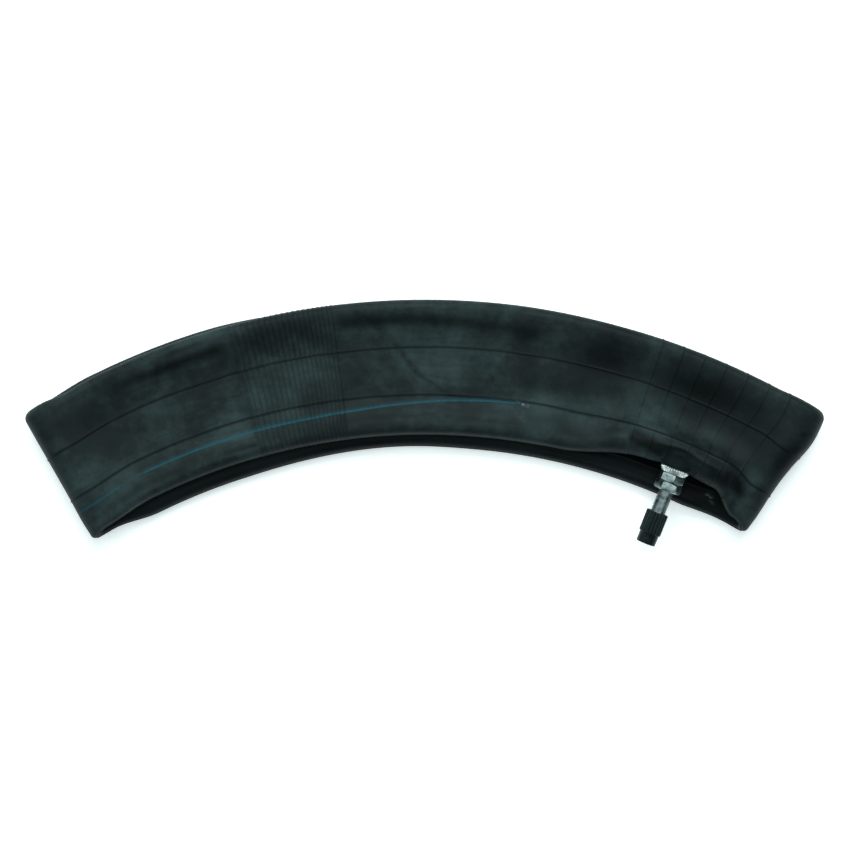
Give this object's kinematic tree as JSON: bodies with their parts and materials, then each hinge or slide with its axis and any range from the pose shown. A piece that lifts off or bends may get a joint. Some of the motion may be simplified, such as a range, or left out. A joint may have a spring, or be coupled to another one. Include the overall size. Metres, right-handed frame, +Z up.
{
  "type": "inner tube",
  "caption": "deflated rubber inner tube pressed flat and folded in half into an arc of two layers, with a straight metal valve, nuts and a screw cap on its inside edge",
  "frame": {"origin": "centre of the bounding box on the surface that the folded tube lies on", "axes": "+X along the folded bundle from its valve-free end to its valve end, +Y towards the outside edge of the arc, +Z up, through the two layers"},
  "size_m": [0.4078, 0.1258, 0.028],
  "materials": {
    "tube_rubber": "matt moulded butyl rubber with a grey bloom",
    "base_rubber": "smooth moulded rubber",
    "plated_brass": "dull nickel plate over turned and milled brass",
    "plated_steel": "bright zinc plate",
    "cap_plastic": "moulded black plastic",
    "seal_rubber": "black seal rubber",
    "core_brass": "turned brass",
    "core_seal": "red tapered seal",
    "spring_steel": "drawn wire"
  },
  "bodies": {
    "tube_and_stem": {"tube": "tube_rubber", "valve_base": "base_rubber", "valve_stem": "plated_brass", "bridge_washer": "plated_steel"},
    "clamp_nut_body": {"clamp_nut": "plated_steel"},
    "rim_nut_body": {"rim_nut": "plated_steel"},
    "cap_gasket_body": {"cap_gasket": "seal_rubber"},
    "cap_body": {"valve_cap": "cap_plastic"},
    "core_barrel_body": {"core_barrel": "core_brass", "barrel_seal": "core_seal", "core_spring": "spring_steel"},
    "core_plug_body": {"core_plug": "core_brass"},
    "core_pin_body": {"core_pin": "core_brass", "poppet_cup": "core_brass", "poppet_seal": "seal_rubber", "spring_seat": "core_brass"}
  },
  "joints": [
    {"name": "clamp_nut_travel", "type": "slide", "parent": "tube_and_stem", "child": "clamp_nut_body", "axis": [-0.3656, -0.9282, -0.0698], "range_m": [0, 0.004]},
    {"name": "rim_nut_travel", "type": "slide", "parent": "clamp_nut_body", "child": "rim_nut_body", "axis": [-0.3656, -0.9282, -0.0698], "range_m": [0, 0.0075]},
    {"name": "cap_travel", "type": "slide", "parent": "tube_and_stem", "child": "cap_gasket_body", "axis": [-0.3656, -0.9282, -0.0698], "range_m": [0, 0.012]},
    {"name": "cap_turn", "type": "hinge", "parent": "cap_gasket_body", "child": "cap_body", "pos_m": [0.11751, -0.05032, 0.01605], "axis": [-0.3656, -0.9282, -0.0698], "range_deg": [0, 5445]},
    {"name": "core_travel", "type": "slide", "parent": "tube_and_stem", "child": "core_barrel_body", "axis": [-0.3656, -0.9282, -0.0698], "range_m": [0, 0.004]},
    {"name": "core_turn", "type": "hinge", "parent": "core_barrel_body", "child": "core_plug_body", "pos_m": [0.11678, -0.05218, 0.01591], "axis": [-0.3656, -0.9282, -0.0698], "range_deg": [0, 2043]},
    {"name": "core_pin_press", "type": "slide", "parent": "core_barrel_body", "child": "core_pin_body", "axis": [-0.3656, -0.9282, -0.0698], "range_m": [-0.0015, 0], "stiffness_N_per_m": 400, "springref_m": 0.002, "deforming": ["core_spring"]}
  ],
  "couplings": [
    {"joint": "cap_turn", "follows": "cap_travel", "rad_per_m": 7915.8},
    {"joint": "core_turn", "follows": "core_travel", "rad_per_m": 8905.2}
  ]
}
